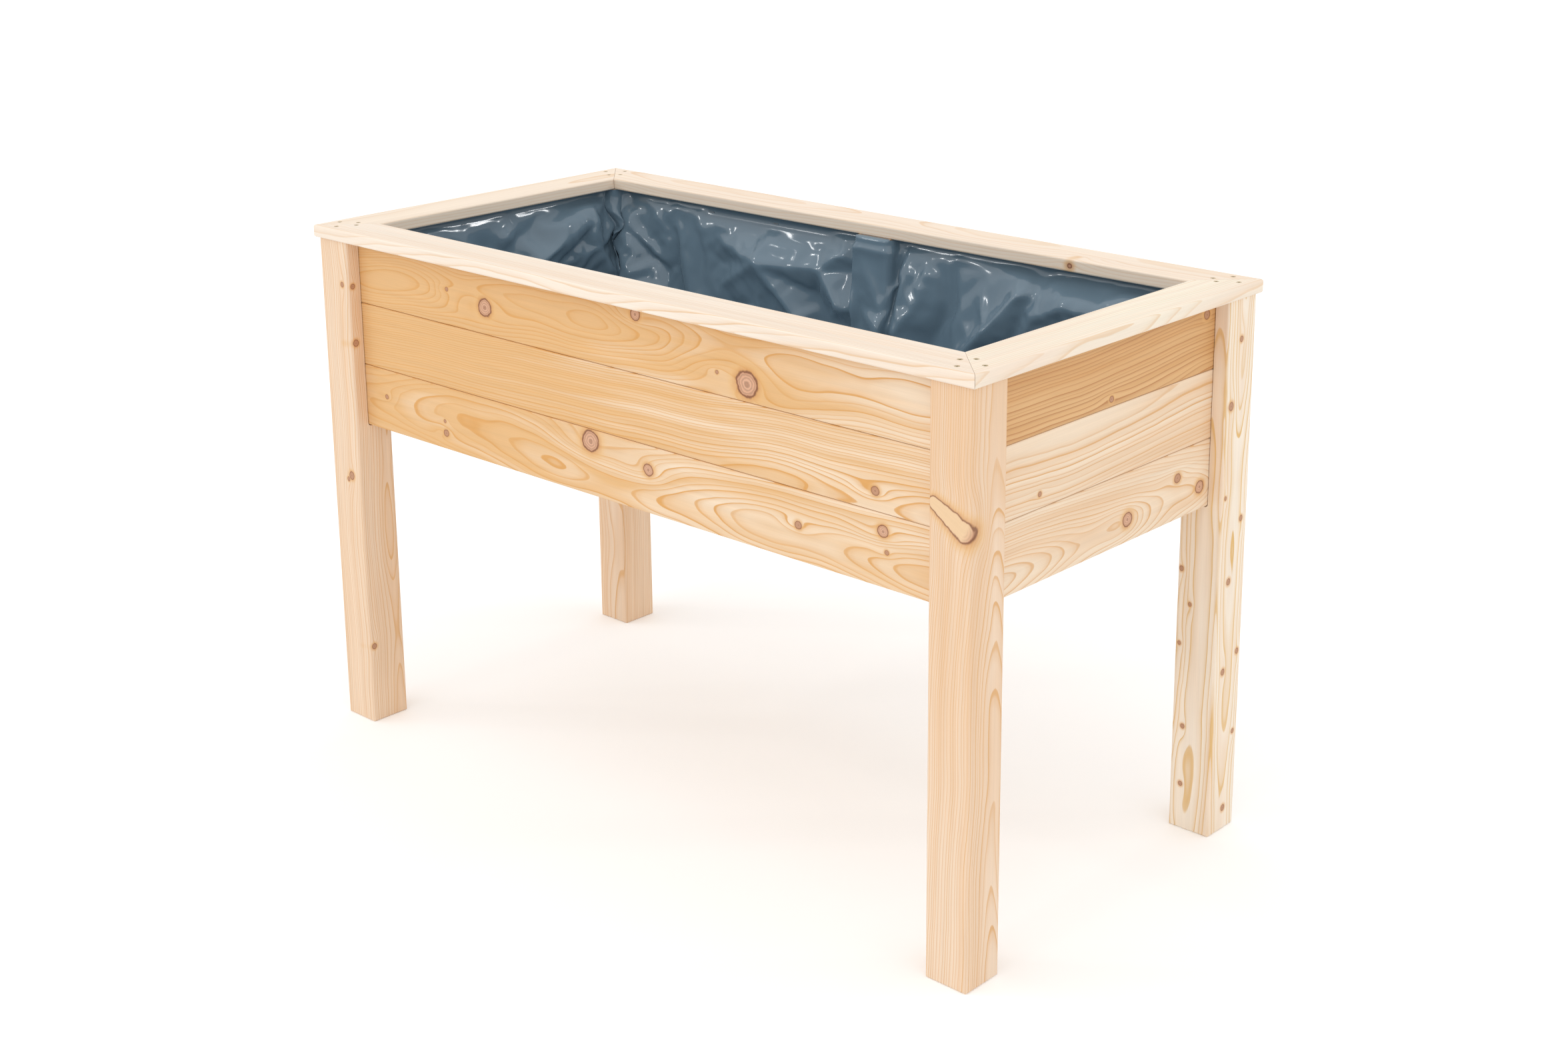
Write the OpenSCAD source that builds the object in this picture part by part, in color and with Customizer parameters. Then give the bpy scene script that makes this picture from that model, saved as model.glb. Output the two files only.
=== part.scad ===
// Raised planter on legs: grooved posts, wall boards held in the grooves, a mitred
// top rim, a slatted floor on ledgers and a film liner. Millimetres, +Z up.
// The origin is on the ground, under the middle of the planter.

/* [Overall] */
// Length over the outer faces of the legs
body_length = 1200; // [900:10:1500]
// Width over the outer faces of the legs
body_width = 584; // [450:2:700]
// Height from the ground to the top of the rim
total_height = 760; // [600:5:900]

/* [Legs] */
// Side of the square leg
leg_side = 63; // [58:1:80]
// Rounding of a leg's long edges
leg_round = 4.5; // [2:0.5:6]
// Bevel round the foot of a leg
foot_bevel = 2; // [1:0.5:4]
// Distance that the wall boards sit back from the legs' outer faces
set_back = 22; // [20:1:24]

/* [Walls] */
// Thickness of a wall board
board_thick = 19; // [16:1:20]
// Distance from one board's bottom edge to the next one's
board_pitch = 92; // [70:1:100]
// Open joint between two boards
board_joint = 0.5; // [0.3:0.1:1.5]
// Rounding of a board's long edges
board_round = 2; // [1:0.5:4]
// Depth of the groove in a leg
groove_depth = 12; // [10:0.5:13]
// Play of a board in its groove, on each face
groove_play = 0.9; // [0.3:0.1:1]
// Rounding of the closed lower end of a groove
groove_round = 5; // [3:0.5:6]
// Depth of the groove's end below the lowest board
groove_end = 2.5; // [2:0.5:4]

/* [Rim] */
// Thickness of the rim
rim_thick = 18; // [15:1:22]
// Overhang of the rim past the legs' outer faces
rim_overhang = 5; // [2:1:10]
// Rounding of the rim's long edges
rim_round = 3; // [1:0.5:4]
// Open line where two rails meet
mitre_joint = 0.4; // [0.2:0.1:1]

/* [Battens and floor] */
// Width of the batten in the middle of each long wall
batten_wide = 60; // [40:5:70]
// Thickness of that batten
batten_thick = 28; // [22:1:36]
// Place of the battens off the middle of the wall
batten_offset = 10; // [-20:5:20]
// Height of the ledgers that carry the floor
ledger_height = 20; // [18:1:30]
// Thickness of a floor slat
slat_thick = 18; // [15:1:22]
// Width of a floor slat
slat_wide = 95; // [60:5:95]
// Number of floor slats
slat_count = 10; // [6:1:10]

/* [Liner] */
// Thickness of the liner where it is drawn as one plain skin
liner_thick = 1.2; // [1:0.1:2]
// Space between the liner and the timber
liner_space = 0.8; // [0.5:0.1:2]
// Distance of the liner's top edge below the rim
liner_drop = 6; // [4:1:12]

/* [Fixings] */
// Diameter of a screw's head
head_wide = 7; // [6:0.5:8]
// Diameter of a screw's shank
shank_wide = 3.6; // [3:0.1:4]
// Length of the rim screws
rim_screw = 50; // [40:5:60]
// Length of the batten screws
batten_screw = 40; // [35:1:42]
// Length of the ledger and slat screws
floor_screw = 33; // [28:1:34]
// Wire thickness of a liner staple
staple_wire = 1.2; // [1:0.1:1.5]

/* [Hidden] */
eps = 0.01;
fit = 0.05;
half_l = body_length / 2;
half_w = body_width / 2;
// Inner faces of the legs
leg_x = half_l - leg_side;
leg_y = half_w - leg_side;
// Outer and inner faces of the wall boards
wall_out = set_back;
wall_in = set_back + board_thick;
in_x = half_l - wall_in;
in_y = half_w - wall_in;
rim_z = total_height - rim_thick;
rim_wide = leg_side + rim_overhang;
rows = 3;
board_h = board_pitch - board_joint;
wall_z = rim_z - rows * board_pitch;
tongue = groove_depth - 1;
ledger_thick = leg_side - wall_in;
floor_z = wall_z + ledger_height + slat_thick;
slat_gap = (2 * leg_x - slat_count * slat_wide) / (slat_count + 1);
head_high = (head_wide - shank_wide) / 2 + 0.6;
sunk = 0.3;
staple_crown = 10;
staple_leg = 8;
staple_z = rim_z - liner_drop - 7;

// Corners and walls: name, then the side it is on in X and Y
CORNERS = [["front_left", -1, -1], ["front_right", 1, -1],
           ["back_right", 1, 1], ["back_left", -1, 1]];
WALLS = ["front", "right", "back", "left"];
ROWS = ["bottom", "middle", "top"];

function is_long(w) = w == "front" || w == "back";
function wall_side(w) = w == "front" || w == "left" ? -1 : 1;
// Distance from the middle out to the inner face of a wall
function wall_face(w) = is_long(w) ? in_y : in_x;

// Screws in the rim: two per rail end, beside the mitre, given from the
// leg's inner corner along the rail and across it
RIM_SPOTS = [[17, 30], [32, 54]];
// Heights of the screws through a batten: two in each board that it covers
batten_low = floor_z + 1;
function batten_row(r, s) = wall_z + (r + 0.5 + s / 4) * board_pitch;
BATTEN_ROWS = [for (r = [0 : rows - 1]) for (s = [-1, 1])
               if (batten_row(r, s) > batten_low + 2 * head_wide) batten_row(r, s)];
LEDGER_LONG = [for (i = [-2 : 2]) i * leg_x * 0.45];
LEDGER_SHORT = [for (i = [-1 : 1]) i * leg_y * 0.7];
STAPLES_LONG = [for (i = [-3.5 : 1 : 3.5]) i * 135];
STAPLES_SHORT = [for (i = [-1.5 : 1 : 1.5]) i * 125];

// A bar's section, wide by high, centred, with rounded corners
module round_section(wide, high, r) {
    square([wide - 2 * r, high], center = true);
    square([wide, high - 2 * r], center = true);
    for (x = [-1, 1], y = [-1, 1])
        translate([x * (wide / 2 - r), y * (high / 2 - r)])
            circle(r = r, $fn = 32);
}

// A bar along X, centred on the origin
module bar_x(long, wide, high, r) {
    rotate([90, 0, 90])
        linear_extrude(long, center = true) round_section(wide, high, r);
}

// Carries a piece drawn for a wall on the +Y side to the named wall
module at_wall(w) {
    turn = w == "back" ? 0 : w == "front" ? 180 : w == "left" ? 90 : -90;
    rotate([0, 0, turn]) children();
}

// A countersunk screw that points down, with its head's top at the origin
module screw(long, grow = 0) {
    r_head = head_wide / 2 + grow;
    r_shank = shank_wide / 2 + grow;
    translate([0, 0, -0.6]) cylinder(r = r_head, h = 0.6 + grow, $fn = 32);
    translate([0, 0, -head_high - grow])
        cylinder(r1 = r_shank, r2 = r_head, h = head_high - 0.6 + grow + eps, $fn = 32);
    translate([0, 0, -long - grow]) cylinder(r = r_shank, h = long + grow, $fn = 32);
}

// The same screw with a cross recess in its head
module real_screw(long) {
    difference() {
        screw(long);
        for (a = [0, 90])
            rotate([0, 0, a]) cube([head_wide * 0.55, 0.9, 2.4], center = true);
    }
}

// The open hole above a screw that is sunk below the surface
module screw_hole(long) {
    screw(long, fit);
    cylinder(r = head_wide / 2 + fit, h = 3, $fn = 32);
}

// Places of the fixings. Each module draws its children once at every spot,
// with the head's top at the origin and the shank pointing into the timber.
module at_rim_screws() {
    for (c = CORNERS, s = RIM_SPOTS, swap = [0, 1])
        translate([c[1] * (leg_x + s[swap]), c[2] * (leg_y + s[1 - swap]),
                   total_height - sunk])
            children();
}

module at_batten_screws(side) {
    for (z = BATTEN_ROWS, x = [-1, 1])
        translate([batten_offset + x * batten_wide / 4,
                   side * (in_y - batten_thick + sunk), z])
            rotate([side * 90, 0, 0]) children();
}

module at_ledger_screws(w) {
    for (p = is_long(w) ? LEDGER_LONG : LEDGER_SHORT)
        at_wall(w)
            translate([p, wall_face(w) - ledger_thick + sunk,
                       wall_z + ledger_height / 2])
                rotate([90, 0, 0]) children();
}

function slat_x(i) = -leg_x + slat_gap * i + slat_wide * (i - 0.5);

module at_slat_screws(i) {
    for (y = [-1, 1])
        translate([slat_x(i), y * (in_y - ledger_thick / 2), floor_z - sunk])
            children();
}

// A staple across a vertical wall on the +Y side: its crown lies on the
// liner, and its two legs go through the liner into the board
module staple(face, grow = 0) {
    t = staple_wire + 2 * grow;
    half = staple_crown / 2 - staple_wire / 2;
    crown_y = face - liner_space - liner_thick - staple_wire;
    if (grow == 0)
        translate([-half, crown_y, -t / 2]) cube([2 * half, t, t]);
    for (s = [-1, 1])
        translate([s * half - t / 2, crown_y, -t / 2])
            cube([t, staple_wire + liner_thick + liner_space + staple_leg, t]);
}

module staples(w, grow = 0) {
    for (p = is_long(w) ? STAPLES_LONG : STAPLES_SHORT)
        at_wall(w) translate([p, 0, staple_z]) staple(wall_face(w), grow);
}

// ---- Legs ----

// A groove cut into the face x = 0 towards -X, from height zero up, whose
// closed lower end has rounded corners
module groove(high) {
    wide = board_thick + 2 * groove_play;
    for (y = [groove_round, wide - groove_round])
        translate([-groove_depth, y, groove_round])
            rotate([0, 90, 0])
                cylinder(r = groove_round, h = groove_depth + eps, $fn = 48);
    translate([-groove_depth, groove_round, 0])
        cube([groove_depth + eps, wide - 2 * groove_round, high]);
    translate([-groove_depth, 0, groove_round])
        cube([groove_depth + eps, wide, high]);
}

// Four wedges that take the sharp edge off a foot
module foot_bevels() {
    for (a = [0 : 90 : 270])
        translate([leg_side / 2, leg_side / 2, 0])
            rotate([0, 0, a])
                translate([leg_side / 2, 0, 0])
                    rotate([0, 45, 0])
                        cube([foot_bevel * sqrt(2), leg_side + 2, foot_bevel * sqrt(2)],
                             center = true);
}

// A leg in its own square, with its outer corner at the origin and its
// grooves in the two faces that look along +X and +Y
module leg_blank() {
    groove_z = wall_z - groove_end;
    difference() {
        translate([leg_side / 2, leg_side / 2, 0])
            linear_extrude(rim_z) round_section(leg_side, leg_side, leg_round);
        foot_bevels();
        translate([leg_side, wall_out - groove_play, groove_z]) groove(rim_z);
        mirror([1, -1, 0])
            translate([leg_side, wall_out - groove_play, groove_z]) groove(rim_z);
    }
}

module leg(sx, sy) {
    color("#ecc9a5")
        difference() {
            translate([sx * half_l, sy * half_w, 0])
                mirror([sx > 0 ? 1 : 0, 0, 0])
                    mirror([0, sy > 0 ? 1 : 0, 0]) leg_blank();
            at_rim_screws() screw(rim_screw, fit);
        }
}

// ---- Wall boards ----

module board(w, row) {
    span = 2 * ((is_long(w) ? leg_x : leg_y) + tongue);
    mid_z = wall_z + row * board_pitch + board_h / 2;
    color(w == "front" || w == "back" ? "#e9bf8c" : "#efd0ac")
        difference() {
            at_wall(w)
                translate([0, wall_face(w) + board_thick / 2, mid_z])
                    bar_x(span, board_thick, board_h, board_round);
            if (row == 0) at_ledger_screws(w) screw(floor_screw, fit);
            if (is_long(w)) at_batten_screws(wall_side(w)) screw(batten_screw, fit);
            if (row == rows - 1) staples(w, fit);
        }
}

// ---- Rim ----

// A rail with both ends cut at 45 degrees, so that four make a frame
module rim_rail(w) {
    half_span = (is_long(w) ? half_l : half_w) + rim_overhang;
    out = (is_long(w) ? half_w : half_l) + rim_overhang;
    color("#f6e3cb")
        difference() {
            at_wall(w)
                difference() {
                    translate([0, out - rim_wide / 2, rim_z + rim_thick / 2])
                        bar_x(2 * half_span, rim_wide, rim_thick, rim_round);
                    for (s = [-1, 1])
                        translate([s * (half_span - mitre_joint / 2 * sqrt(2)), out, rim_z - 1])
                            rotate([0, 0, s > 0 ? -45 : -135])
                                translate([0, -2 * rim_wide, 0])
                                    cube([2 * rim_wide, 4 * rim_wide, rim_thick + 2]);
                }
            at_rim_screws() screw_hole(rim_screw);
        }
}

// ---- Battens, ledgers and floor ----

module batten(w) {
    side = wall_side(w);
    high = rim_z - batten_low;
    color("#dfb98c")
        difference() {
            translate([batten_offset, side * (in_y - batten_thick / 2), batten_low])
                linear_extrude(high) round_section(batten_wide, batten_thick, board_round);
            at_batten_screws(side) screw_hole(batten_screw);
        }
}

module ledger(w) {
    span = 2 * (is_long(w) ? leg_x : leg_y) - 1;
    high = is_long(w) ? ledger_height : ledger_height + slat_thick;
    color("#d9b184")
        difference() {
            at_wall(w)
                translate([0, wall_face(w) - ledger_thick / 2, wall_z + high / 2])
                    bar_x(span, ledger_thick, high, board_round);
            at_ledger_screws(w) screw_hole(floor_screw);
            if (is_long(w))
                for (i = [1 : slat_count]) at_slat_screws(i) screw(floor_screw, fit);
        }
}

module slat(i) {
    color("#dcb78d")
        difference() {
            translate([slat_x(i), 0, floor_z - slat_thick / 2])
                rotate([0, 0, 90])
                    bar_x(2 * in_y - 2, slat_wide, slat_thick, board_round);
            at_slat_screws(i) screw_hole(floor_screw);
        }
}

// ---- Liner ----

// The plan of the planting space, drawn in by a margin from all timber
module liner_plan(margin) {
    difference() {
        square([2 * (in_x - margin), 2 * (in_y - margin)], center = true);
        for (c = CORNERS)
            translate([c[1] * half_l, c[2] * half_w])
                square([2 * (leg_side + margin), 2 * (leg_side + margin)], center = true);
        for (s = [-1, 1])
            translate([batten_offset, s * in_y])
                square([batten_wide + 2 * margin, 2 * (batten_thick + margin)],
                       center = true);
    }
}

module liner() {
    low = floor_z + liner_space;
    color("#5b6f80")
        difference() {
            translate([0, 0, low])
                linear_extrude(rim_z - liner_drop - low) liner_plan(liner_space);
            translate([0, 0, low + liner_thick])
                linear_extrude(rim_z) liner_plan(liner_space + liner_thick);
            for (w = WALLS) staples(w, fit);
        }
}

// ---- Fixings ----

module rim_screws() {
    color("#c9b27a") at_rim_screws() real_screw(rim_screw);
}

module batten_screws() {
    color("#c9b27a") for (s = [-1, 1]) at_batten_screws(s) real_screw(batten_screw);
}

module ledger_screws() {
    color("#c9b27a") for (w = WALLS) at_ledger_screws(w) real_screw(floor_screw);
}

module slat_screws() {
    color("#c9b27a")
        for (i = [1 : slat_count]) at_slat_screws(i) real_screw(floor_screw);
}

module liner_staples() {
    color("#b9bcc0") for (w = WALLS) staples(w);
}

for (c = CORNERS) leg(c[1], c[2]);
for (w = WALLS, r = [0 : rows - 1])
    board(w, r);
for (w = WALLS) rim_rail(w);
batten("front");  // batten_front
batten("back");  // batten_back
for (w = WALLS) ledger(w);
for (i = [1 : slat_count]) slat(i);
liner();
rim_screws();
batten_screws();
ledger_screws();
slat_screws();
liner_staples();
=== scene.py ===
import math

import bmesh
import bpy
import numpy as np
from mathutils import Matrix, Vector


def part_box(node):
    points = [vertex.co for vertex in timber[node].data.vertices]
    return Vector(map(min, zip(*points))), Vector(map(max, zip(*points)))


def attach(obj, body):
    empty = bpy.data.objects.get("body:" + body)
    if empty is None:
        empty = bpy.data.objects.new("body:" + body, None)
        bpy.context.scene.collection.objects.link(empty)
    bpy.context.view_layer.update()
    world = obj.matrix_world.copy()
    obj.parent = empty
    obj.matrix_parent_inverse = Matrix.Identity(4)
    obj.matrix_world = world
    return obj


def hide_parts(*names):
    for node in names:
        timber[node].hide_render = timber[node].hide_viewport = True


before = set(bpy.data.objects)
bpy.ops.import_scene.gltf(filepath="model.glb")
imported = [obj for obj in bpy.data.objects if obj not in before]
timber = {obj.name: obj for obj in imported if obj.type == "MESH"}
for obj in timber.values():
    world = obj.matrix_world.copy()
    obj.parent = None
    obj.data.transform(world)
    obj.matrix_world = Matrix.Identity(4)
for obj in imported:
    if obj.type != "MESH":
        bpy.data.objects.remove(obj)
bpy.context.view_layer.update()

# The studio: a pale floor that runs on to the horizon, very wide soft suns
# from the front left, the right and behind, and an even sky. A few weak, narrow
# suns give the film and the screws their small bright highlights.
scene = bpy.context.scene
scene.view_settings.view_transform = "Standard"


def add_node(tree, kind, sockets=(), **settings):
    """A shader node. sockets pairs an input's name or number with a value or with another node's output."""
    made = tree.nodes.new(kind)
    for name, value in settings.items():
        setattr(made, name, value)
    for name, value in dict(sockets).items():
        if isinstance(value, bpy.types.NodeSocket):
            tree.links.new(value, made.inputs[name])
        else:
            made.inputs[name].default_value = value
    return made


def new_material(name):
    """An empty material's node tree and its output node."""
    material = bpy.data.materials.new(name)
    material.use_nodes = True
    material.node_tree.nodes.clear()
    return material, material.node_tree, material.node_tree.nodes.new("ShaderNodeOutputMaterial")


def new_piece(name, points, faces):
    """A mesh object from arrays of points and of quads or triangles."""
    mesh = bpy.data.meshes.new(name)
    mesh.from_pydata(points.tolist(), [], faces.tolist())
    mesh.update()
    made = bpy.data.objects.new(name, mesh)
    scene.collection.objects.link(made)
    return made


def add_sun(name, way, wide, strength, colour=(1.0, 1.0, 1.0)):
    """A sun whose light comes from the way (x, y, z), over a disc that is wide degrees across."""
    data = bpy.data.lights.new(name, "SUN")
    data.energy, data.angle, data.color = strength, math.radians(wide), colour
    made = bpy.data.objects.new(name, data)
    made.rotation_euler = (math.atan2(math.hypot(way[0], way[1]), way[2]), 0, math.atan2(way[0], -way[1]))
    scene.collection.objects.link(made)


FLOOR_REACH = 40.0
floor = new_piece("floor", FLOOR_REACH * np.array([[-1, -1, 0], [1, -1, 0], [1, 1, 0], [-1, 1, 0]]),
                  np.array([[0, 1, 2, 3]]))
floor_paint, tree, out = new_material("floor_paint")
rays = add_node(tree, "ShaderNodeLightPath")
paint = add_node(tree, "ShaderNodeBsdfDiffuse", {"Color": (0.93, 0.93, 0.93, 1)})
white = add_node(tree, "ShaderNodeEmission", {"Color": (1, 1, 1, 1), "Strength": 0.14})
seen = add_node(tree, "ShaderNodeMath", {0: rays.outputs["Is Camera Ray"], 1: rays.outputs["Is Glossy Ray"]},
                operation="MAXIMUM")
glow = add_node(tree, "ShaderNodeMixShader", {0: seen.outputs[0], 2: white.outputs[0]})
tree.links.new(add_node(tree, "ShaderNodeAddShader", {0: paint.outputs[0], 1: glow.outputs[0]}).outputs[0],
               out.inputs["Surface"])
floor.data.materials.append(floor_paint)

world = bpy.data.worlds.new("sky")
scene.world = world
world.use_nodes = True
tree = world.node_tree
tree.nodes.clear()
rays = add_node(tree, "ShaderNodeLightPath")
seen = add_node(tree, "ShaderNodeMath", {0: rays.outputs["Is Camera Ray"],
                                         1: rays.outputs["Is Transmission Ray"]}, operation="MAXIMUM")
strength = add_node(tree, "ShaderNodeMapRange", {"Value": seen.outputs[0], "To Min": 0.78, "To Max": 1.0})
sky = add_node(tree, "ShaderNodeBackground", {"Color": (1, 1, 1, 1), "Strength": strength.outputs[0]})
tree.links.new(sky.outputs[0], add_node(tree, "ShaderNodeOutputWorld").inputs["Surface"])

add_sun("key_sun", (-0.45, -0.85, 1.0), 75, 0.50, (1.0, 0.99, 0.975))
add_sun("right_sun", (0.95, -0.30, 0.8), 80, 0.50, (1.0, 0.995, 0.985))
add_sun("back_sun", (-0.2, 0.9, 1.1), 80, 0.22)
GLINTS = [(-0.63, -0.70, 0.34), (-0.63, -0.46, 0.62), (-0.04, -0.90, 0.42), (0.65, 0.62, 0.46)]
for i, way in enumerate(GLINTS):
    add_sun(f"glint_{i}", way, 4, 0.11)

# The camera stands at the planter's right front corner, a little above it,
# with a long lens that is shifted down to keep the legs nearly upright.
CAMERA_PLACE = (2.018, -2.111, 1.410)
CAMERA_TURN, CAMERA_TILT, CAMERA_ROLL = (math.radians(a) for a in (42.615, -14.757, -0.42))
camera_data = bpy.data.cameras.new("camera")
camera_data.lens = 50.5
camera_data.shift_x, camera_data.shift_y = -0.0107, -0.12
camera = bpy.data.objects.new("camera", camera_data)
camera.matrix_world = (Matrix.Translation(CAMERA_PLACE) @ Matrix.Rotation(CAMERA_TURN, 4, "Z")
                       @ Matrix.Rotation(math.pi / 2 + CAMERA_TILT, 4, "X")
                       @ Matrix.Rotation(CAMERA_ROLL, 4, "Z"))
scene.collection.objects.link(camera)
scene.camera = camera

# The four legs: square posts of planed softwood with two stopped grooves each.
# Their grain runs upright, and small knots lie all along them.


def number(tree, operation, *values):
    """One sum in a node tree: its output."""
    return add_node(tree, "ShaderNodeMath", dict(enumerate(values)), operation=operation).outputs[0]


def vector(tree, operation, *values):
    """One vector sum in a node tree: its output, which is a number for a length or a dot product."""
    made = add_node(tree, "ShaderNodeVectorMath", operation=operation)
    for i, value in enumerate(values):
        slot = "Scale" if operation == "SCALE" and i == 1 else i
        if isinstance(value, bpy.types.NodeSocket):
            tree.links.new(value, made.inputs[slot])
        else:
            made.inputs[slot].default_value = value
    return made.outputs["Value" if operation in ("LENGTH", "DOT_PRODUCT") else "Vector"]


def noise(tree, place, scale, detail=2.0, rough=0.5, kind="3D"):
    """A noise node's outputs, read at a place in metres that is first stretched by scale."""
    return add_node(tree, "ShaderNodeTexNoise",
                    {"Vector": vector(tree, "MULTIPLY", place, scale), "Scale": 1.0,
                     "Detail": detail, "Roughness": rough}, noise_dimensions=kind).outputs


def give(made, sockets):
    """Sets or links a node's inputs by name."""
    for socket, value in sockets.items():
        if isinstance(value, bpy.types.NodeSocket):
            value.id_data.links.new(value, made.inputs[socket])
        else:
            made.inputs[socket].default_value = value


def group_tree(name, inputs, outputs):
    """A new node group with these (name, kind) sockets, its input node and its output node."""
    tree = bpy.data.node_groups.new(name, "ShaderNodeTree")
    for way, sockets in (("INPUT", inputs), ("OUTPUT", outputs)):
        for socket, kind in sockets:
            tree.interface.new_socket(socket, in_out=way, socket_type="NodeSocket" + kind)
    return tree, tree.nodes.new("NodeGroupInput").outputs, tree.nodes.new("NodeGroupOutput").inputs


THINNEST_KNOT, SMALL_KNOT = 0.001, 0.0062


def knot_group():
    """A branch that crosses the timber along Axis through Centre.

    Its radius is Radius at the centre and changes by Grow per metre of its line, and it ends Length away
    on both sides. Depth is the distance from the line over that radius, a little uneven, and Near the least
    Depth so far. Grain is the point where the rings are read: towards the knot it is drawn in to the line
    and lifted, so that the rings part, bulge and close round the branch. Pale is 1 in the young end of a
    branch that grows and -1 in a small dead branch."""
    tree, given, result = group_tree(
        "knot", [("Point", "Vector"), ("Grain", "Vector"), ("Near", "Float"), ("Pale", "Float"),
                 ("Centre", "Vector"), ("Axis", "Vector"), ("Radius", "Float"), ("Grow", "Float"),
                 ("Length", "Float")],
        [("Grain", "Vector"), ("Near", "Float"), ("Pale", "Float")])
    offset = vector(tree, "SUBTRACT", given["Point"], given["Centre"])
    reach = vector(tree, "DOT_PRODUCT", offset, given["Axis"])
    across = vector(tree, "SUBTRACT", offset, vector(tree, "SCALE", given["Axis"], reach))
    grown = number(tree, "MULTIPLY_ADD", given["Grow"], reach, given["Radius"])
    radius = number(tree, "MAXIMUM", grown, THINNEST_KNOT)
    oval = vector(tree, "LENGTH", vector(tree, "MULTIPLY", across, (0.92, 1, 1)))
    uneven = noise(tree, given["Point"], (110, 110, 110))["Fac"]
    side = number(tree, "ADD", number(tree, "DIVIDE", oval, radius),
                  number(tree, "MULTIPLY_ADD", uneven, 0.36, -0.18))
    past = number(tree, "SUBTRACT", number(tree, "ABSOLUTE", reach), given["Length"])
    past = number(tree, "DIVIDE", number(tree, "MAXIMUM", past, 0), radius)
    depth = number(tree, "MULTIPLY_ADD", past, past, number(tree, "MULTIPLY", side, side))
    depth = number(tree, "SQRT", depth)
    nearest = number(tree, "LESS_THAN", depth, given["Near"])
    young = add_node(tree, "ShaderNodeMapRange", {"Value": number(tree, "DIVIDE", reach, given["Length"]),
                                                  "From Min": 1.05, "From Max": 1.55, "To Min": 1.0,
                                                  "To Max": 0.0}).outputs[0]
    grows = number(tree, "GREATER_THAN", given["Grow"], 0.01)
    own = number(tree, "MULTIPLY_ADD", young, grows, number(
        tree, "MULTIPLY", number(tree, "LESS_THAN", given["Radius"], SMALL_KNOT), -1.0))
    tree.links.new(add_node(tree, "ShaderNodeMix", {0: nearest, 2: given["Pale"], 3: own}).outputs[0],
                   result["Pale"])
    tree.links.new(number(tree, "MINIMUM", depth, given["Near"]), result["Near"])
    long_way = vector(tree, "LENGTH", vector(tree, "MULTIPLY", across, (0.34, 1, 1)))
    ratio = number(tree, "DIVIDE", long_way, radius)
    ratio = number(tree, "MAXIMUM", ratio, past)
    square = number(tree, "MULTIPLY", ratio, ratio)
    pull = number(tree, "MULTIPLY", number(tree, "EXPONENT", number(tree, "MULTIPLY", square, -0.3)), -0.75)
    lift = number(tree, "MULTIPLY", radius, number(
        tree, "EXPONENT", number(tree, "MULTIPLY", square, -0.16)))
    drawn = vector(tree, "SCALE", vector(tree, "MULTIPLY", across, (0, 1, 1)), pull)
    lifted = vector(tree, "SCALE", (0.0, 0.25, -1.0), lift)
    tree.links.new(vector(tree, "ADD", given["Grain"], vector(tree, "ADD", drawn, lifted)), result["Grain"])
    return tree


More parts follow.
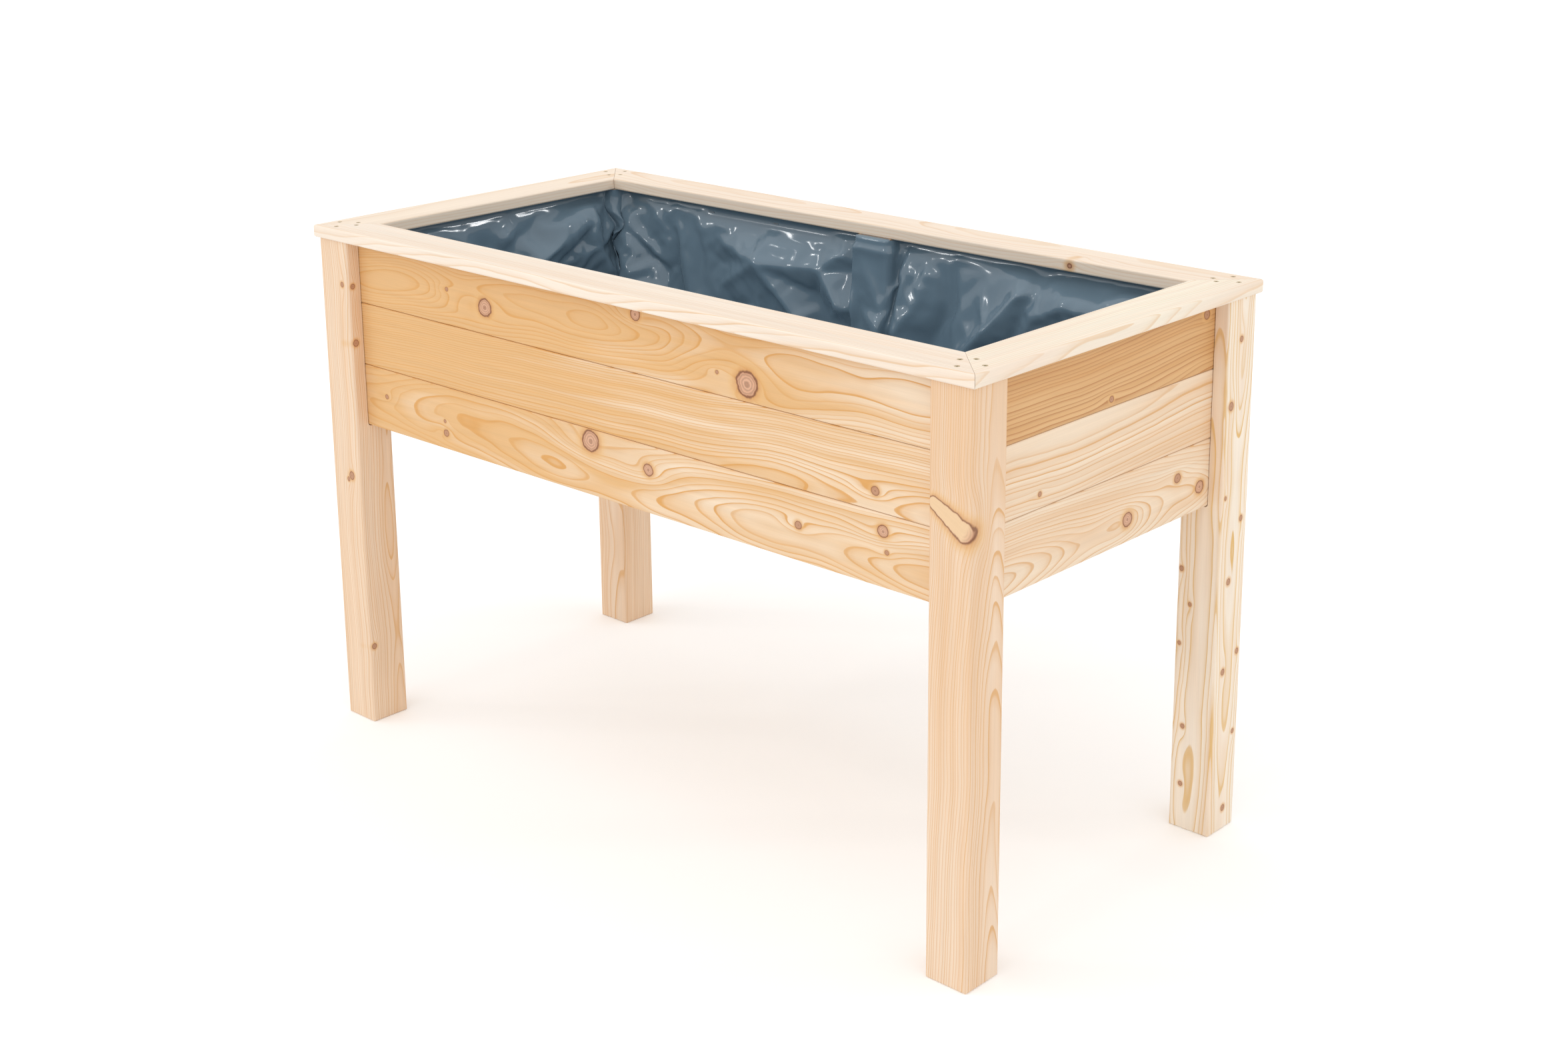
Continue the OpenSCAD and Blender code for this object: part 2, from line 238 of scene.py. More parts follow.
def softwood_group():
    """Planed softwood, from a point with the grain along X, in metres.

    The rings are the distance from a pith line that leans and wanders along the grain, over the ring
    width. Each ring darkens from early wood to a thin band of late wood, by an amount of its own. Fine
    fibres and broad tones lie over that, and the knots over all."""
    tree, given, result = group_tree(
        "softwood", [("Point", "Vector"), ("Grain", "Vector"), ("Near", "Float"), ("Pale", "Float"),
                     ("Pith", "Vector"), ("Lean", "Vector"), ("Wander", "Float"), ("Ring", "Float"),
                     ("Contrast", "Float"), ("Tone", "Float"),
                     ("Early", "Color"), ("Late", "Color"), ("Blush", "Color")],
        [("Color", "Color"), ("Roughness", "Float"), ("Height", "Float")])
    grain = given["Grain"]
    far = add_node(tree, "ShaderNodeSeparateXYZ", {0: grain}).outputs[0]
    slow = vector(tree, "SUBTRACT", noise(tree, grain, (3.2, 2.0, 2.0), 1.0)["Color"], (0.5, 0.5, 0.5))
    ripple = vector(tree, "SUBTRACT", noise(tree, grain, (9, 26, 26), 2.0)["Color"], (0.5, 0.5, 0.5))
    centred = vector(tree, "SUBTRACT", vector(tree, "SUBTRACT", grain, given["Pith"]),
                     vector(tree, "SCALE", given["Lean"], far))
    bent = vector(tree, "ADD", vector(tree, "ADD", centred, vector(tree, "SCALE", slow, given["Wander"])),
                  vector(tree, "SCALE", ripple, 0.0035))
    radius = vector(tree, "LENGTH", vector(tree, "MULTIPLY", bent, (0, 1, 1)))
    spread = noise(tree, vector(tree, "SCALE", (1, 1, 1), radius), (70, 0, 0), 1.0)["Fac"]
    count = number(tree, "ADD", number(tree, "DIVIDE", radius, given["Ring"]),
                   number(tree, "MULTIPLY", spread, 2.2))
    share = number(tree, "FRACT", count)
    own = add_node(tree, "ShaderNodeTexWhiteNoise", {"W": number(tree, "FLOOR", count)},
                   noise_dimensions="1D").outputs["Value"]
    band = add_node(tree, "ShaderNodeValToRGB", {"Fac": share})
    ramp = band.color_ramp
    ramp.interpolation = "EASE"
    for position, value in ((0.0, 0.0), (0.45, 0.06), (0.74, 0.34), (0.90, 1.0), (0.96, 0.9), (1.0, 0.0)):
        stop = ramp.elements.new(position) if 0.0 < position < 1.0 else ramp.elements[-int(position)]
        stop.color = (value, value, value, 1)
    strength = number(tree, "MULTIPLY", band.outputs["Color"], number(
        tree, "MULTIPLY", given["Contrast"], number(tree, "MULTIPLY_ADD", own, 0.7, 0.6)))
    point = given["Point"]
    fibre = noise(tree, point, (14, 900, 900), 3.0, 0.6)["Fac"]
    streak = noise(tree, point, (3, 160, 160), 2.0)["Fac"]
    patch = noise(tree, grain, (2.2, 22, 22), 2.0)["Fac"]
    season = noise(tree, vector(tree, "SCALE", (1, 1, 1), radius), (90, 0, 0), 2.0)["Fac"]
    tone = number(tree, "MULTIPLY_ADD", number(tree, "ADD", patch, season), 0.5, given["Tone"])
    blush = add_node(tree, "ShaderNodeMapRange",
                     {"Value": tone, "From Min": 0.40, "From Max": 0.62}).outputs[0]
    early = add_node(tree, "ShaderNodeMix", {"Factor": blush, 6: given["Early"], 7: given["Blush"]},
                     data_type="RGBA").outputs[2]
    ringed = add_node(tree, "ShaderNodeMix", {"Factor": strength, 6: early, 7: given["Late"]},
                      data_type="RGBA").outputs[2]
    shade = number(tree, "ADD", number(tree, "MULTIPLY_ADD", fibre, 0.16, 0.92),
                   number(tree, "MULTIPLY_ADD", streak, 0.14, -0.07))
    plain = vector(tree, "SCALE", ringed, shade)
    near = given["Near"]
    heart = add_node(tree, "ShaderNodeValToRGB", {"Fac": number(tree, "DIVIDE", near, 3.0)})
    ramp = heart.color_ramp
    for position, colour in (
            (0.0, (0.36, 0.17, 0.10)), (0.10, (0.66, 0.38, 0.25)), (0.27, (0.62, 0.34, 0.21)),
            (0.305, (0.26, 0.10, 0.05)), (0.332, (0.30, 0.12, 0.055)), (0.37, (0.68, 0.34, 0.12)),
            (0.5, (0.80, 0.48, 0.20)), (1.0, (0.84, 0.58, 0.32))):
        stop = ramp.elements.new(position) if 0.0 < position < 1.0 else ramp.elements[-int(position)]
        stop.color = (*colour, 1)
    circles = number(tree, "SINE", number(tree, "MULTIPLY", near, 24.0))
    circles = number(tree, "MULTIPLY", circles, number(tree, "LESS_THAN", near, 1.0))
    circles = number(tree, "MULTIPLY_ADD", circles, 0.17, 0.96)
    knotted = vector(tree, "SCALE", heart.outputs["Color"], circles)
    core = add_node(tree, "ShaderNodeMapRange", {"Value": near, "From Min": 0.80, "From Max": 0.92,
                                                 "To Min": 0.92, "To Max": 0.1}).outputs[0]
    for share, tint in ((number(tree, "MAXIMUM", given["Pale"], 0.0), (0.84, 0.60, 0.36, 1)),
                        (number(tree, "MULTIPLY", number(tree, "MINIMUM", given["Pale"], 0.0), -0.45),
                         (0.34, 0.14, 0.05, 1))):
        knotted = add_node(tree, "ShaderNodeMix", {
            "Factor": number(tree, "MULTIPLY", share, core), 6: knotted, 7: tint},
            data_type="RGBA").outputs[2]
    cover = add_node(tree, "ShaderNodeMapRange", {"Value": near, "From Min": 1.0, "From Max": 2.4,
                                                  "To Min": 1.0, "To Max": 0.0},
                     interpolation_type="SMOOTHERSTEP").outputs[0]
    inside = add_node(tree, "ShaderNodeMapRange", {"Value": near, "From Min": 1.0, "From Max": 1.12,
                                                   "To Min": 0.95, "To Max": 0.7}).outputs[0]
    colour = add_node(tree, "ShaderNodeMix", {"Factor": number(tree, "MULTIPLY", cover, inside), 6: plain,
                                              7: knotted}, data_type="RGBA").outputs[2]
    tree.links.new(colour, result["Color"])
    rough = number(tree, "MULTIPLY_ADD", fibre, 0.2, 0.52)
    tree.links.new(number(tree, "MULTIPLY_ADD", strength, -0.12, rough), result["Roughness"])
    tree.links.new(number(tree, "ADD", number(tree, "MULTIPLY", strength, 0.5),
                          number(tree, "MULTIPLY", fibre, 0.6)), result["Height"])
    return tree


knot_nodes = knot_group()
softwood_nodes = softwood_group()
# For each grain direction, the object axes that become along, across and through the piece
AXES = {"x": (0, 2, 1), "y": (1, 2, 0), "z": (2, 0, 1), "x_flat": (0, 1, 2), "y_flat": (1, 0, 2)}


def softwood(name, grain, seed, early, late, blush, pith=(0.0, 0.05), lean=(0.0, 0.0), wander=0.03,
             ring=0.0035, contrast=0.8, tone=0.0, fade=0.0, knots=()):
    """A material for one piece of timber.

    grain names the piece's AXES. seed moves the piece to another part of the log. pith is the pith's
    distance from the piece's middle, across and through it, and lean how far that changes per metre from
    the middle. tone moves the whole piece from early towards blush, and fade does so along it, per metre.
    knots lists (along, across, radius) in the object's own coordinates; a fourth value names the branch's
    way as (along, across, through), the through coordinate of its centre, its grow and its length."""
    material, tree, out = new_material(name)
    order = AXES[grain]
    axes = add_node(tree, "ShaderNodeSeparateXYZ",
                    {0: add_node(tree, "ShaderNodeTexCoord").outputs["Object"]}).outputs
    low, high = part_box(name.removeprefix("wood_"))
    middle = [(low[i] + high[i]) / 2 for i in order]
    point = add_node(tree, "ShaderNodeCombineXYZ", {i: axes[order[i]] for i in range(3)}).outputs[0]
    shift = (seed * 1.7, 0.0, 0.0)
    pattern = vector(tree, "ADD", point, shift)
    grain_point, near, pale = pattern, 99.0, 0.0
    for along, across, radius, *more in knots:
        branch = {"way": (0.12, 0.0, 1.0), "through": middle[2], "grow": 0.0, "length": 1.0}
        branch.update(*more)
        axis = np.array(branch["way"]) / np.linalg.norm(branch["way"])
        made = add_node(tree, "ShaderNodeGroup", node_tree=knot_nodes)
        give(made, {"Point": pattern, "Grain": grain_point, "Near": near, "Pale": pale,
                    "Centre": (along + shift[0], across, branch["through"]), "Axis": tuple(axis),
                    "Radius": radius, "Grow": branch["grow"], "Length": branch["length"]})
        grain_point, near, pale = (made.outputs[name] for name in ("Grain", "Near", "Pale"))
    wood = add_node(tree, "ShaderNodeGroup", node_tree=softwood_nodes)
    start = shift[0] + middle[0]
    give(wood, {"Point": pattern, "Grain": grain_point, "Near": near, "Pale": pale,
                "Pith": (0, *(middle[i + 1] + pith[i] - lean[i] * start for i in range(2))),
                "Lean": (0, *lean), "Wander": wander, "Ring": ring, "Contrast": contrast,
                "Tone": number(tree, "MULTIPLY_ADD", axes[order[0]], fade, tone),
                "Early": (*early, 1), "Late": (*late, 1), "Blush": (*blush, 1)})
    bump = add_node(tree, "ShaderNodeBump", {"Height": wood.outputs["Height"], "Strength": 0.25,
                                             "Distance": 0.0004})
    shader = add_node(tree, "ShaderNodeBsdfPrincipled",
                      {"Base Color": wood.outputs["Color"], "Roughness": wood.outputs["Roughness"],
                       "Normal": bump.outputs[0], "Specular IOR Level": 0.35})
    tree.links.new(shader.outputs[0], out.inputs["Surface"])
    return material


def finish_node(name, material):
    """Gives a timber node its material."""
    node = timber[name]
    node.data.materials.clear()
    node.data.materials.append(material)


STRAW, STRAW_LATE = (0.91, 0.80, 0.67), (0.74, 0.46, 0.16)
PEACH, PEACH_LATE, PEACH_BLUSH = (0.85, 0.67, 0.51), (0.72, 0.42, 0.19), (0.80, 0.56, 0.37)
LEG_PAINT = dict(early=PEACH, late=PEACH_LATE, blush=PEACH_BLUSH)
LEGS = {
    "leg_front_left": dict(seed=1, pith=(0.05, 0.02), ring=0.003, knots=[
        (0.682, -0.551, 0.0035), (0.392, -0.556, 0.0055), (0.385, -0.564, 0.003),
        *((z, -0.537, size, dict(way=(0.1, 1, 0.05), through=-0.284, length=0.02)) for z, size in (
            (0.676, 0.0035), (0.592, 0.0045), (0.121, 0.004)))]),
    "leg_front_right": dict(seed=2, pith=(0.078, 0.02), lean=(0.05, 0.0), ring=0.0032, contrast=0.9,
                            fade=0.3, tone=-0.10, knots=[
        (0.5865, 0.566, 0.0105, dict(way=(-0.5, 0.86, 0.0), through=-0.290, grow=0.10, length=0.025))]),
    "leg_back_right": dict(seed=3, pith=(0.008, 0.003), lean=(0.03, 0.006), ring=0.0042, tone=-0.07,
                           early=STRAW, late=STRAW_LATE, knots=[
        (0.375, 0.543, 0.0032), (0.328, 0.558, 0.0025),
        (0.270, 0.544, 0.0025), (0.153, 0.554, 0.003), (0.069, 0.554, 0.003),
        *((z, 0.583, size, dict(way=(0.1, 1, 0.05), through=y, length=0.03)) for y, z, size in (
            (0.258, 0.686, 0.0035), (0.240, 0.600, 0.005), (0.236, 0.477, 0.0025), (0.276, 0.440, 0.0035),
            (0.252, 0.358, 0.004), (0.281, 0.252, 0.0035), (0.248, 0.232, 0.004),
            (0.279, 0.137, 0.003), (0.263, 0.030, 0.004)))]),
    "leg_back_left": dict(seed=4, pith=(0.03, 0.06), ring=0.0035, knots=[(0.3, -0.55, 0.005)]),
}
for name, how in LEGS.items():
    finish_node(name, softwood("wood_" + name, "z", **{**LEG_PAINT, **how}))

# The wall boards: three planed boards a side, one on the other, whose ends
# stand in the legs' grooves. The long ones are golden, the short ones paler.
GOLD, GOLD_LATE, GOLD_BLUSH = (0.87, 0.70, 0.52), (0.70, 0.36, 0.11), (0.76, 0.47, 0.22)
PALE, PALE_LATE, PALE_BLUSH = (0.86, 0.70, 0.53), (0.70, 0.39, 0.16), (0.80, 0.56, 0.36)
TAN, TAN_LATE, TAN_BLUSH = (0.74, 0.46, 0.22), (0.50, 0.23, 0.08), (0.64, 0.35, 0.14)
BOARDS = {
    "board_front_top": dict(seed=5, pith=(0.005, 0.036), lean=(0.015, 0.03), wander=0.045, ring=0.0034,
                            fade=-0.42, tone=0.14, contrast=0.85, knots=[
        (-0.257, 0.688, 0.0125), (-0.338, 0.701, 0.003), (0.041, 0.728, 0.008), (0.236, 0.673, 0.0165),
        (0.185, 0.679, 0.0025)]),
    "board_front_middle": dict(seed=6, pith=(-0.060, 0.030), lean=(0.05, 0.01), ring=0.0032, contrast=1.0,
                               fade=-0.30, tone=0.09, knots=[(0.441, 0.583, 0.0055)]),
    "board_front_bottom": dict(seed=7, pith=(-0.01, 0.042), lean=(-0.02, -0.035), wander=0.05, ring=0.0038,
                               fade=-0.16, tone=0.05, contrast=0.85, knots=[
        (-0.488, 0.517, 0.0035), (-0.354, 0.490, 0.005), (-0.356, 0.507, 0.0025), (-0.051, 0.541, 0.0145),
        (0.058, 0.525, 0.008), (0.319, 0.512, 0.005), (0.453, 0.536, 0.0075), (0.459, 0.511, 0.003)]),
    "board_right_top": dict(seed=8, pith=(-0.07, -0.03), lean=(0.03, 0.0), ring=0.0044, contrast=1.0,
                            knots=[
        (0.003, 0.660, 0.004), (0.209, 0.725, 0.006)]),
    "board_right_middle": dict(seed=9, pith=(0.05, 0.06), ring=0.0048, contrast=0.8, knots=[
        (-0.138, 0.576, 0.003)]),
    "board_right_bottom": dict(seed=10, pith=(-0.018, -0.036), lean=(0.03, -0.12), wander=0.015, ring=0.0036,
                               contrast=0.75, tone=-0.05, knots=[
        (0.155, 0.522, 0.006), (0.045, 0.496, 0.009), (0.207, 0.497, 0.008)]),
    "board_back_top": dict(seed=11, pith=(0.02, 0.07), lean=(0.01, 0.05), ring=0.005, knots=[
        (0.2, 0.70, 0.009)]),
    "board_back_middle": dict(seed=12, pith=(-0.05, 0.04), ring=0.004, knots=[(-0.3, 0.60, 0.012)]),
    "board_back_bottom": dict(seed=13, pith=(0.0, -0.07), lean=(0.02, 0.05), ring=0.006, knots=[
        (0.1, 0.51, 0.012), (-0.38, 0.53, 0.006)]),
    "board_left_top": dict(seed=14, pith=(0.03, 0.05), ring=0.0036, knots=[(-0.1, 0.69, 0.006)]),
    "board_left_middle": dict(seed=15, pith=(-0.04, 0.06), lean=(0.0, 0.08), ring=0.005, knots=[
        (0.12, 0.60, 0.010)]),
    "board_left_bottom": dict(seed=16, pith=(0.0, 0.08), lean=(0.05, 0.1), ring=0.006, knots=[
        (0.0, 0.51, 0.009)]),
}
for name, how in BOARDS.items():
    long_side = "front" in name or "back" in name
    early, late, blush = (GOLD, GOLD_LATE, GOLD_BLUSH) if long_side else (PALE, PALE_LATE, PALE_BLUSH)
    if name == "board_right_top":
        early, late, blush = TAN, TAN_LATE, TAN_BLUSH
    wood = softwood("wood_" + name, "x" if long_side else "y", early=early, late=late, blush=blush, **how)
    finish_node(name, wood)

# The rim: four flat rails with rounded edges, mitred at the corners and
# screwed down on the legs. They are the palest timber of all.
CREAM, CREAM_LATE, CREAM_BLUSH = (0.90, 0.80, 0.69), (0.74, 0.44, 0.19), (0.88, 0.74, 0.61)
BUTTER, ROSE = (0.90, 0.83, 0.69), (0.89, 0.76, 0.62)
RIMS = {
    "rim_front": dict(seed=20, early=CREAM, pith=(1.07, 0.39), lean=(0.03, 0.01), ring=0.0040, contrast=0.5),
    "rim_right": dict(seed=21, early=BUTTER, pith=(1.77, 0.46), lean=(0.05, 0.01), ring=0.0048, contrast=0.4),
    "rim_back": dict(seed=22, early=ROSE, pith=(0.02, 0.10), ring=0.005, contrast=0.4, tone=0.03, knots=[
        (0.352, 0.240, 0.006, dict(way=(0.1, 1.0, 0.1), through=0.751, length=0.006))]),
    "rim_left": dict(seed=23, early=ROSE, pith=(0.01, 0.11), ring=0.0055, contrast=0.4),
}
for name, how in RIMS.items():
    finish_node(name, softwood("wood_" + name, "x_flat" if name in ("rim_front", "rim_back") else "y_flat",
                               late=CREAM_LATE, blush=CREAM_BLUSH, wander=0.025, **how))

# The battens on the inside of the long walls, the ledgers and the floor
# slats: plainer timber that the liner or the walls hide from above.
SAWN, SAWN_LATE, SAWN_BLUSH = (0.74, 0.54, 0.34), (0.56, 0.33, 0.16), (0.70, 0.48, 0.29)
HIDDEN = {"batten_front": "z", "batten_back": "z", "ledger_front": "x", "ledger_back": "x",
          "ledger_left": "y", "ledger_right": "y", **{f"slat_{i}": "y_flat" for i in range(1, 11)}}
for i, (name, grain) in enumerate(HIDDEN.items()):
    finish_node(name, softwood("wood_" + name, grain, seed=30 + i, early=SAWN, late=SAWN_LATE,
                               blush=SAWN_BLUSH, pith=(0.01 * (i % 5 - 2), 0.04), ring=0.0038,
                               contrast=0.7))

# The fixings: countersunk screws with a yellow zinc coat, and galvanised
# wire staples that hold the liner's top edge to the boards.


def metal(name, colour, rough):
    """Plated wire or screw steel: its colour and roughness vary in small clouds, with a fine bump."""
    material, tree, out = new_material(name)
    point = add_node(tree, "ShaderNodeTexCoord").outputs["Object"]
    cloud = noise(tree, point, (420, 420, 420), 3.0)["Fac"]
    tint = add_node(tree, "ShaderNodeMix", {"Factor": cloud, 6: (*colour, 1),
                                            7: (*(0.72 * c for c in colour), 1)}, data_type="RGBA").outputs[2]
    bump = add_node(tree, "ShaderNodeBump", {"Height": cloud, "Strength": 0.2, "Distance": 0.0002})
    shader = add_node(tree, "ShaderNodeBsdfPrincipled",
                      {"Base Color": tint, "Metallic": 1.0, "Normal": bump.outputs[0],
                       "Roughness": number(tree, "MULTIPLY_ADD", cloud, 0.25, rough)})
    tree.links.new(shader.outputs[0], out.inputs["Surface"])
    return material


zinc = metal("yellow_zinc", (0.70, 0.58, 0.36), 0.3)
for name in ("rim_screws", "batten_screws", "ledger_screws", "slat_screws"):
    finish_node(name, zinc)
finish_node("liner_staples", metal("staple_wire", (0.60, 0.61, 0.62), 0.28))

# The liner: one sheet of grey-blue film laid in the box as a bag, wrapped over
# the battens and stapled to the boards under the rim. It is too big for the
# box, so it stands off the walls in folds and bunches up in the corners.
leg_low, leg_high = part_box("leg_front_left")
batten_low, batten_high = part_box("batten_back")
inner_x, inner_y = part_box("board_right_top")[0].x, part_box("board_back_top")[0].y
floor_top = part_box("slat_1")[1].z
FILM_TOP = batten_high.z - 0.0005
FILM_CELL = 0.0075
FILM_START = 0.004
FILM_BAND, FILM_EASE, SLACK_EASE, FLOOR_REACH_UP = 0.016, 0.02, 0.05, 0.01
FILM_ABOVE_FLOOR, POST_CLEAR, WALL_CLEAR, LID_LIFT = 0.0025, 0.0012, 0.0012, 0.0004
FILM_SLACK, CORNER_SLACK, CORNER_REACH, FLOOR_SHARE = 0.033, 0.18, 0.13, 0.4
FOLD_SHARE = 1.3
FILM_FRAMES = 30
# Fold lines that stand off a wall, in mm: place along the wall, height and depth at both ends
LONG_FOLDS = [
    (-355, 718, 11, -77, 717, 11), (-321, 692, 8, -211, 672, 34), (-211, 672, 34, -95, 677, 20),
    (-211, 672, 34, -300, 625, 14), (-211, 672, 34, -136, 600, 26), (-95, 677, 20, -60, 705, 16),
    (-95, 677, 20, -54, 632, 28), (8, 684, 6, 40, 640, 12), (104, 720, 8, 90, 660, 20),
    (90, 660, 20, 62, 610, 34), (309, 731, 8, 275, 702, 26), (275, 702, 26, 227, 643, 40),
    (227, 643, 40, 152, 573, 34), (309, 731, 8, 302, 672, 28), (302, 672, 28, 261, 620, 18),
    (302, 672, 28, 357, 698, 32), (357, 698, 32, 419, 685, 28), (357, 698, 32, 370, 640, 18),
    (419, 685, 28, 480, 712, 24), (419, 685, 28, 450, 630, 34), (480, 712, 24, 540, 722, 10),
    (-540, 722, 10, -506, 690, 20), (-506, 690, 20, -499, 610, 40), (-506, 690, 20, -440, 650, 14),
    (-499, 610, 40, -430, 590, 26)]
SHORT_FOLDS = [
    (28, 724, 5, 10, 700, 10), (178, 712, 28, 67, 655, 26), (178, 656, 32, 123, 641, 18),
    (178, 712, 28, 178, 656, 32), (178, 656, 32, 235, 690, 18), (178, 656, 32, 215, 600, 40),
    (67, 655, 26, 20, 610, 18), (-120, 700, 8, -60, 640, 18), (-60, 640, 18, -20, 600, 30),
    (-210, 690, 18, -160, 630, 32)]


def box_plan(clear):
    """The planting space seen from above, clear of the timber: a rectangle less the legs and battens."""
    x, y = inner_x - clear, inner_y - clear
    leg_x, leg_y = -leg_high.x - clear, -leg_high.y - clear
    left, right, proud = batten_low.x - clear, batten_high.x + clear, batten_low.y - clear
    back = np.array([(x, leg_y), (leg_x, leg_y), (leg_x, y), (right, y), (right, proud), (left, proud),
                     (left, y), (-leg_x, y), (-leg_x, leg_y), (-x, leg_y)])
    return np.vstack([back, back[::-1] * (1, -1)])


def prism(name, plan, bottom, top):
    """The plan's outline carried straight up from bottom to top, closed by a flat face at each end."""
    count = len(plan)
    points = np.vstack([np.column_stack([plan, np.full(count, z)]) for z in (bottom, top)])
    ring = np.arange(count)
    after = (ring + 1) % count
    sides = np.column_stack([ring, after, after + count, ring + count]).tolist()
    mesh = bpy.data.meshes.new(name)
    mesh.from_pydata(points.tolist(), [], sides + [ring[::-1].tolist(), (ring + count).tolist()])
    made = bpy.data.objects.new(name, mesh)
    scene.collection.objects.link(made)
    return made


def apply_modifiers(piece):
    """Makes what the piece's modifiers show its own mesh."""
    shown = piece.evaluated_get(bpy.context.evaluated_depsgraph_get())
    mesh = bpy.data.meshes.new_from_object(shown)
    piece.modifiers.clear()
    piece.data = mesh


def read(items, what):
    """One vector for each item of a mesh, as an array."""
    values = np.empty(len(items) * 3)
    items.foreach_get(what, values)
    return values.reshape(-1, 3)


def stand_off(points, wall, along, folds):
    """How far points stand off one wall, and which lie on a fold line.

    Each fold is a tent over its line: its height falls evenly to nothing at its width on both sides. The
    highest tent counts, times the fold share."""
    place = np.column_stack([points @ along, points[:, 2]])
    height, ridge = np.zeros(len(points)), np.zeros(len(points), bool)
    for fold in folds:
        start, end = np.array(fold[0:2]) / 1000, np.array(fold[3:5]) / 1000
        way = end - start
        share = np.clip((place - start) @ way / (way @ way), 0, 1)
        gap = np.linalg.norm(place - start - share[:, None] * way, axis=1)
        tall = (fold[2] + (fold[5] - fold[2]) * share) / 1000
        height = np.maximum(height, tall * np.clip(1 - gap / (1.3 * tall + 0.012), 0, 1))
        ridge |= gap < FILM_CELL / 2
    return np.where(wall, FOLD_SHARE * height, 0), ridge & wall


liner = prism("film_liner", box_plan(FILM_START), floor_top + FILM_ABOVE_FLOOR, FILM_TOP + 0.03)
remesh = liner.modifiers.new("remesh", "REMESH")
remesh.mode, remesh.voxel_size = "VOXEL", FILM_CELL
apply_modifiers(liner)
cut = bmesh.new()
cut.from_mesh(liner.data)
bmesh.ops.bisect_plane(cut, geom=cut.verts[:] + cut.edges[:] + cut.faces[:], plane_co=(0, 0, FILM_TOP),
                       plane_no=(0, 0, 1), clear_outer=True)
cut.to_mesh(liner.data)
cut.free()

points = read(liner.data.vertices, "co")
inward = -read(liner.data.vertices, "normal")
drop = FILM_TOP - points[:, 2]
rng = np.random.default_rng(11)
waves = rng.normal(size=(14, 3)) * (6, 6, 8)
swell = np.sin(points @ waves.T + rng.uniform(0, 2 * math.pi, 14)).sum(1) / 3
batten_x, batten_half = (batten_low.x + batten_high.x) / 2, (batten_high.x - batten_low.x) / 2 + FILM_START
aside = np.abs(points[:, :2])
at_post = (np.abs(points[:, 0] - batten_x) < batten_half + 0.008) | ((aside + leg_high.xy).min(1) > -0.012)
free = np.clip((drop - FILM_BAND) / FILM_EASE, 0, 1)
tight = (1 - free) * np.where(at_post, -POST_CLEAR, FILM_START - WALL_CLEAR)
off_wall = free * np.clip(0.002 * (1 + swell), 0, 0.02) - tight
shape = points + off_wall[:, None] * inward
wall_y = inner_y - batten_low.y + 0.005
WALL_X = 0.028
pinned = drop < FILM_BAND
for wall, along, off, folds in (
        (points[:, 1] > inner_y - wall_y, (1, 0, 0), (0, -1, 0), LONG_FOLDS),
        (points[:, 1] < wall_y - inner_y, (-1, 0, 0), (0, 1, 0), LONG_FOLDS),
        (points[:, 0] < WALL_X - inner_x, (0, 1, 0), (1, 0, 0), SHORT_FOLDS),
        (points[:, 0] > inner_x - WALL_X, (0, -1, 0), (-1, 0, 0), SHORT_FOLDS)):
    height, ridge = stand_off(points, wall, np.array(along, float), folds)
    shape += (free * height)[:, None] * np.array(off, float)
    pinned |= ridge
liner.data.vertices.foreach_set("co", shape.ravel())
liner.data.update()
stapled = liner.vertex_groups.new(name="stapled")
stapled.add(np.flatnonzero(pinned).tolist(), 1.0, "REPLACE")
corner = np.hypot(inner_x - np.abs(points[:, 0]), inner_y - np.abs(points[:, 1]))
slack = FILM_SLACK + (CORNER_SLACK - FILM_SLACK) * np.exp(-(corner / CORNER_REACH) ** 2)
slack *= np.clip((drop - FILM_BAND) / SLACK_EASE, 0, 1)
slack *= np.where(points[:, 2] < floor_top + FLOOR_REACH_UP, FLOOR_SHARE, 1)
snug = liner.vertex_groups.new(name="snug")
STEPS = 24
steps = np.rint((1 - slack / CORNER_SLACK) * STEPS).astype(int)
for step in range(STEPS + 1):
    snug.add(np.flatnonzero(steps == step).tolist(), step / STEPS, "REPLACE")

walls = prism("liner_walls", box_plan(0.001), floor_top - 0.0005, FILM_TOP + 0.05)
walls.data.flip_normals()
walls.modifiers.new("collision", "COLLISION")
walls.collision.thickness_outer, walls.collision.thickness_inner = 0.003, 0.02
cloth = liner.modifiers.new("cloth", "CLOTH")
how = cloth.settings
how.quality, how.mass, how.air_damping = 6, 0.12, 3
how.tension_stiffness = how.compression_stiffness = 60
how.shear_stiffness, how.bending_stiffness = 40, 1
how.tension_damping = how.compression_damping = how.shear_damping = 3
how.shrink_min, how.shrink_max = -CORNER_SLACK, 0
how.vertex_group_shrink, how.vertex_group_mass = "snug", "stapled"
cloth.collision_settings.distance_min = 0.002
cloth.collision_settings.collision_quality = 3
cloth.point_cache.frame_end = FILM_FRAMES
for step in range(1, FILM_FRAMES + 1):
    scene.frame_set(step)
apply_modifiers(liner)
scene.frame_set(1)
bpy.data.objects.remove(walls)

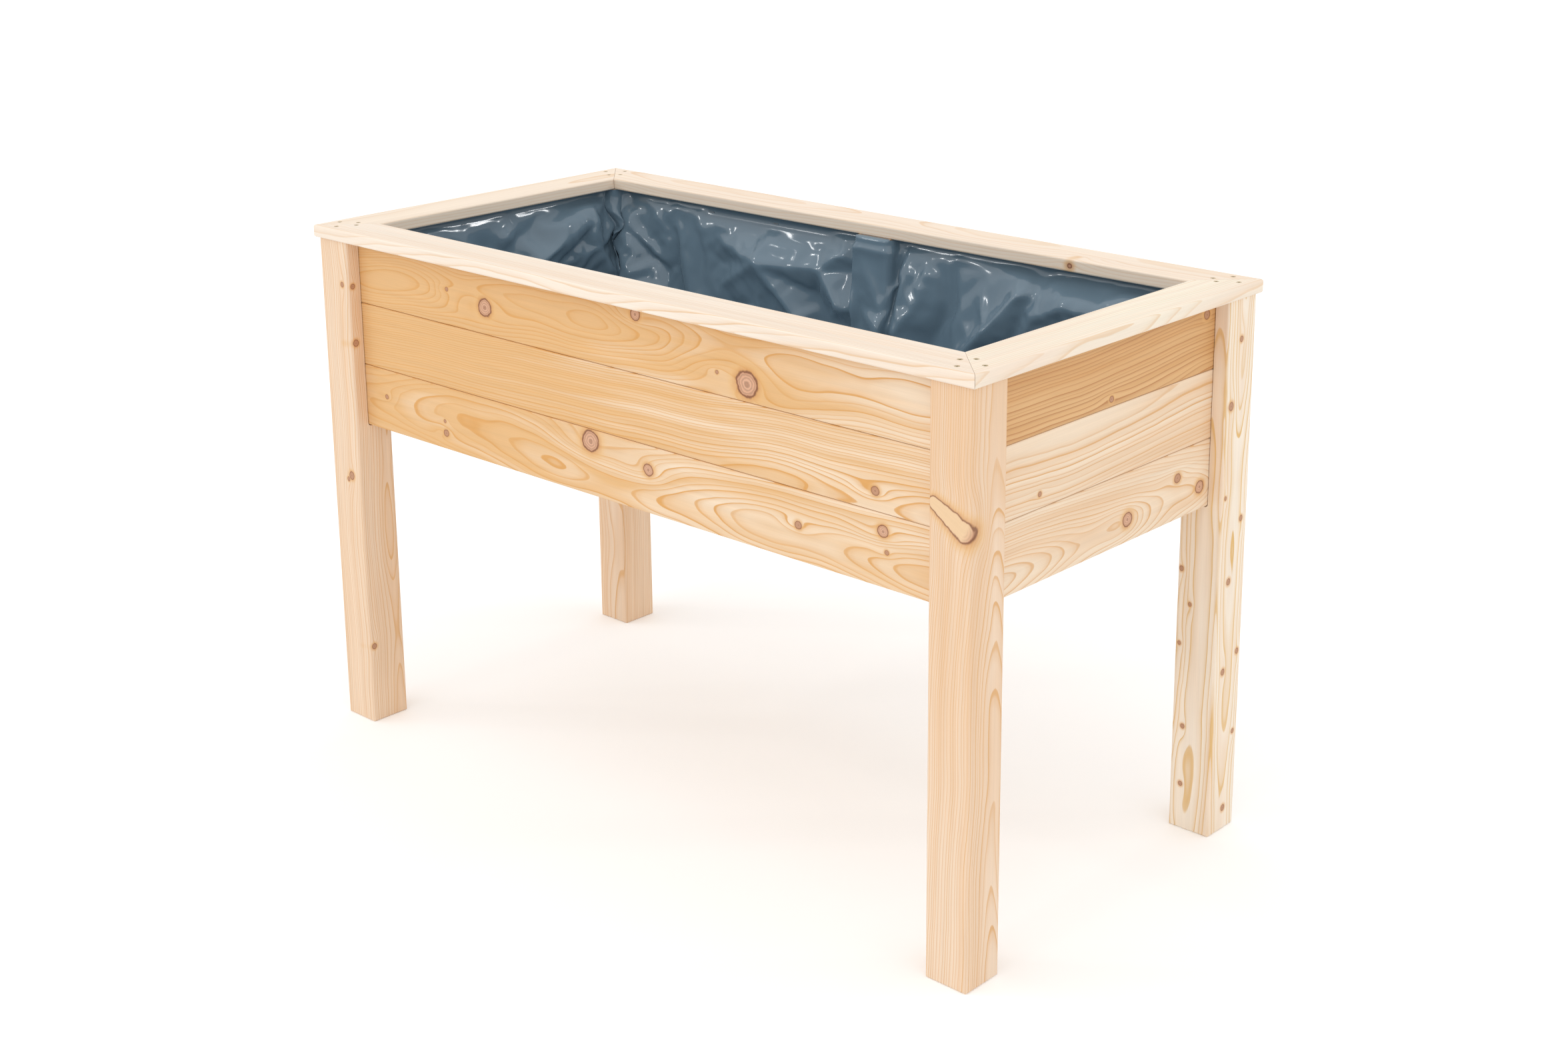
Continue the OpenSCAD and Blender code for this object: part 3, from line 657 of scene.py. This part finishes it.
points = read(liner.data.vertices, "co")
ends = np.empty(2 * len(liner.data.edges), int)
liner.data.edges.foreach_get("vertices", ends)
used = np.empty(len(liner.data.loops), int)
liner.data.loops.foreach_get("edge_index", used)
on_batten = (np.abs(points[:, 1]) < batten_low.y + 0.002) & (np.abs(points[:, 0] - batten_x) < batten_half)
over = (np.bincount(used, minlength=len(liner.data.edges)) == 1) & on_batten[ends.reshape(-1, 2)].all(1)
cut = bmesh.new()
cut.from_mesh(liner.data)
cut.edges.ensure_lookup_table()
rim_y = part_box("rim_back")[1].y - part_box("rim_right")[1].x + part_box("leg_front_right")[0].x
edges = [cut.edges[i] for i in np.flatnonzero(over).tolist()]
grown = bmesh.ops.extrude_edge_only(cut, edges=edges)["geom"]
lid = [item for item in grown if isinstance(item, bmesh.types.BMVert)]
for v in {v for edge in edges for v in edge.verts}:
    v.co.z = batten_high.z + LID_LIFT
for v in lid:
    v.co.y, v.co.z = math.copysign(rim_y, v.co.y), batten_high.z + LID_LIFT
bmesh.ops.recalc_face_normals(cut, faces=cut.faces[:])
cut.to_mesh(liner.data)
cut.free()
smooth = liner.modifiers.new("smooth", "SUBSURF")
smooth.levels = smooth.render_levels = 1
liner.data.polygons.foreach_set("use_smooth", np.ones(len(liner.data.polygons), bool))

film, tree, out = new_material("liner_film")
point = add_node(tree, "ShaderNodeTexCoord").outputs["Object"]
cloud = noise(tree, point, (9, 9, 9), 2.0)["Fac"]
crease = add_node(tree, "ShaderNodeTexNoise", {
    "Vector": vector(tree, "MULTIPLY", point, (22, 22, 22)), "Scale": 1.0, "Detail": 3.0, "Roughness": 0.5,
    "Distortion": 0.6}, noise_type="RIDGED_MULTIFRACTAL").outputs["Fac"]
tint = add_node(tree, "ShaderNodeMix", {"Factor": cloud, 6: (0.126, 0.192, 0.248, 1),
                                        7: (0.162, 0.232, 0.290, 1)}, data_type="RGBA").outputs[2]
bump = add_node(tree, "ShaderNodeBump", {"Height": crease, "Strength": 0.05, "Distance": 0.0010})
shader = add_node(tree, "ShaderNodeBsdfPrincipled",
                  {"Base Color": tint, "Roughness": number(tree, "MULTIPLY_ADD", cloud, 0.10, 0.075),
                   "Normal": bump.outputs[0], "IOR": 1.52})
tree.links.new(shader.outputs[0], out.inputs["Surface"])
liner.data.materials.append(film)
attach(liner, "root")
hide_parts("liner")
